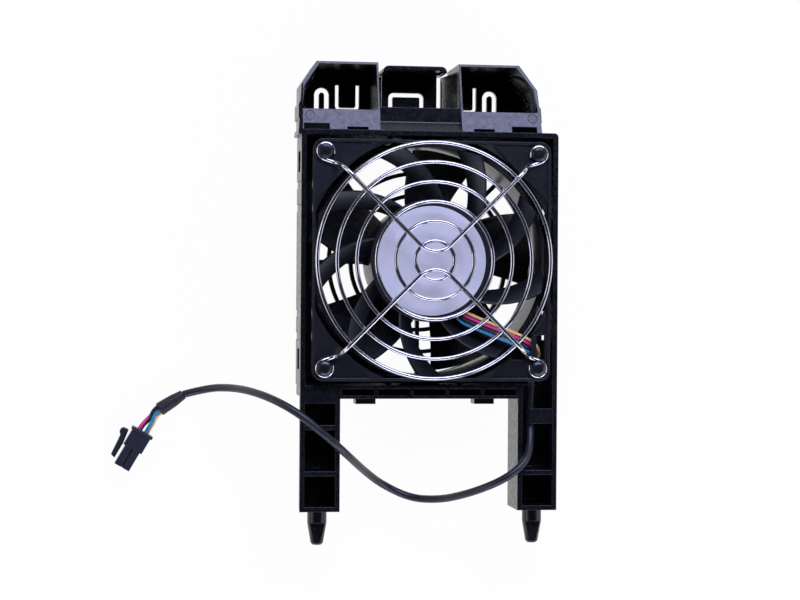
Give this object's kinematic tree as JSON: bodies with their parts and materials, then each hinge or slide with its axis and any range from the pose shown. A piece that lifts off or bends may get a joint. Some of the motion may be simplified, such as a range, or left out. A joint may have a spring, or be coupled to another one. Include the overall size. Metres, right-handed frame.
{
  "type": "server cooling fan module",
  "caption": "Square axial cooling fan in a black snap-in carrier with legs, locating pegs, finger cups, release tab, wire finger guard and sleeved plug lead.",
  "frame": {"origin": "middle of the module's footprint, without the lead, on the floor under the carrier's back", "axes": "the module lies on its back: +Y runs from the pegs to the finger cups, +Z out of the wire guard, +X to the right as seen from the guard with the cups at the top"},
  "size_m": [0.1719, 0.1868, 0.0485],
  "materials": {
    "carrier_plastic": "moulded black, fine grain",
    "fan_plastic": "moulded black, satin",
    "rotor_plastic": "moulded black, satin",
    "guard_wire": "bright plated wire",
    "rivet_metal": "dull plated",
    "steel": "ground steel",
    "magnet": "bonded ferrite",
    "brass": "turned brass",
    "laminations": "stacked electrical steel",
    "copper": "enamelled copper wire",
    "board": "green solder mask",
    "label": "bare silver film",
    "lead_yellow": "soft insulation",
    "lead_red": "soft insulation",
    "lead_black": "soft insulation",
    "lead_blue": "soft insulation",
    "sleeve": "dark flexible sleeve",
    "plug_plastic": "moulded black",
    "contact_metal": "tinned brass"
  },
  "bodies": {
    "module": {"carrier": "carrier_plastic", "fan_frame": "fan_plastic", "bearing_outer_rings": "steel", "bearing_balls": "steel", "bearing_tube": "brass", "stator_core": "laminations", "stator_windings": "copper", "circuit_board": "board", "hub_label": "label", "guard_rings": "guard_wire", "guard_spokes": "guard_wire", "guard_rivets": "rivet_metal", "lead_yellow": "lead_yellow", "lead_red": "lead_red", "lead_black": "lead_black", "lead_blue": "lead_blue", "cable_sleeve": "sleeve", "shrink_tube": "sleeve", "plug_lead_yellow": "lead_yellow", "plug_lead_red": "lead_red", "plug_lead_black": "lead_black", "plug_lead_blue": "lead_blue", "plug_housing": "plug_plastic", "plug_contacts": "contact_metal"},
    "rotor": {"impeller": "rotor_plastic", "rotor_yoke": "steel", "rotor_magnet": "magnet", "shaft": "steel", "shaft_clip": "steel", "shaft_spacer": "brass", "bearing_inner_rings": "steel"},
    "release_tab": {"release_tab": "carrier_plastic"},
    "plug_latch": {"plug_latch": "plug_plastic"}
  },
  "joints": [
    {"name": "rotor_spin", "type": "hinge", "parent": "module", "child": "rotor", "pos_m": [0.0006, 0.01635, 0.0171], "axis": [0, 0, 1], "continuous": true},
    {"name": "release_tab_press", "type": "hinge", "parent": "module", "child": "release_tab", "pos_m": [-0.0032, 0.06665, 0.001], "axis": [1, 0, 0], "range_deg": [0, 8], "stiffness_Nm_per_rad": 0.3},
    {"name": "plug_latch_press", "type": "hinge", "parent": "module", "child": "plug_latch", "pos_m": [-0.11651, -0.05635, 0.0035], "axis": [0, 0, -1], "range_deg": [0, 8], "stiffness_Nm_per_rad": 0.02}
  ]
}
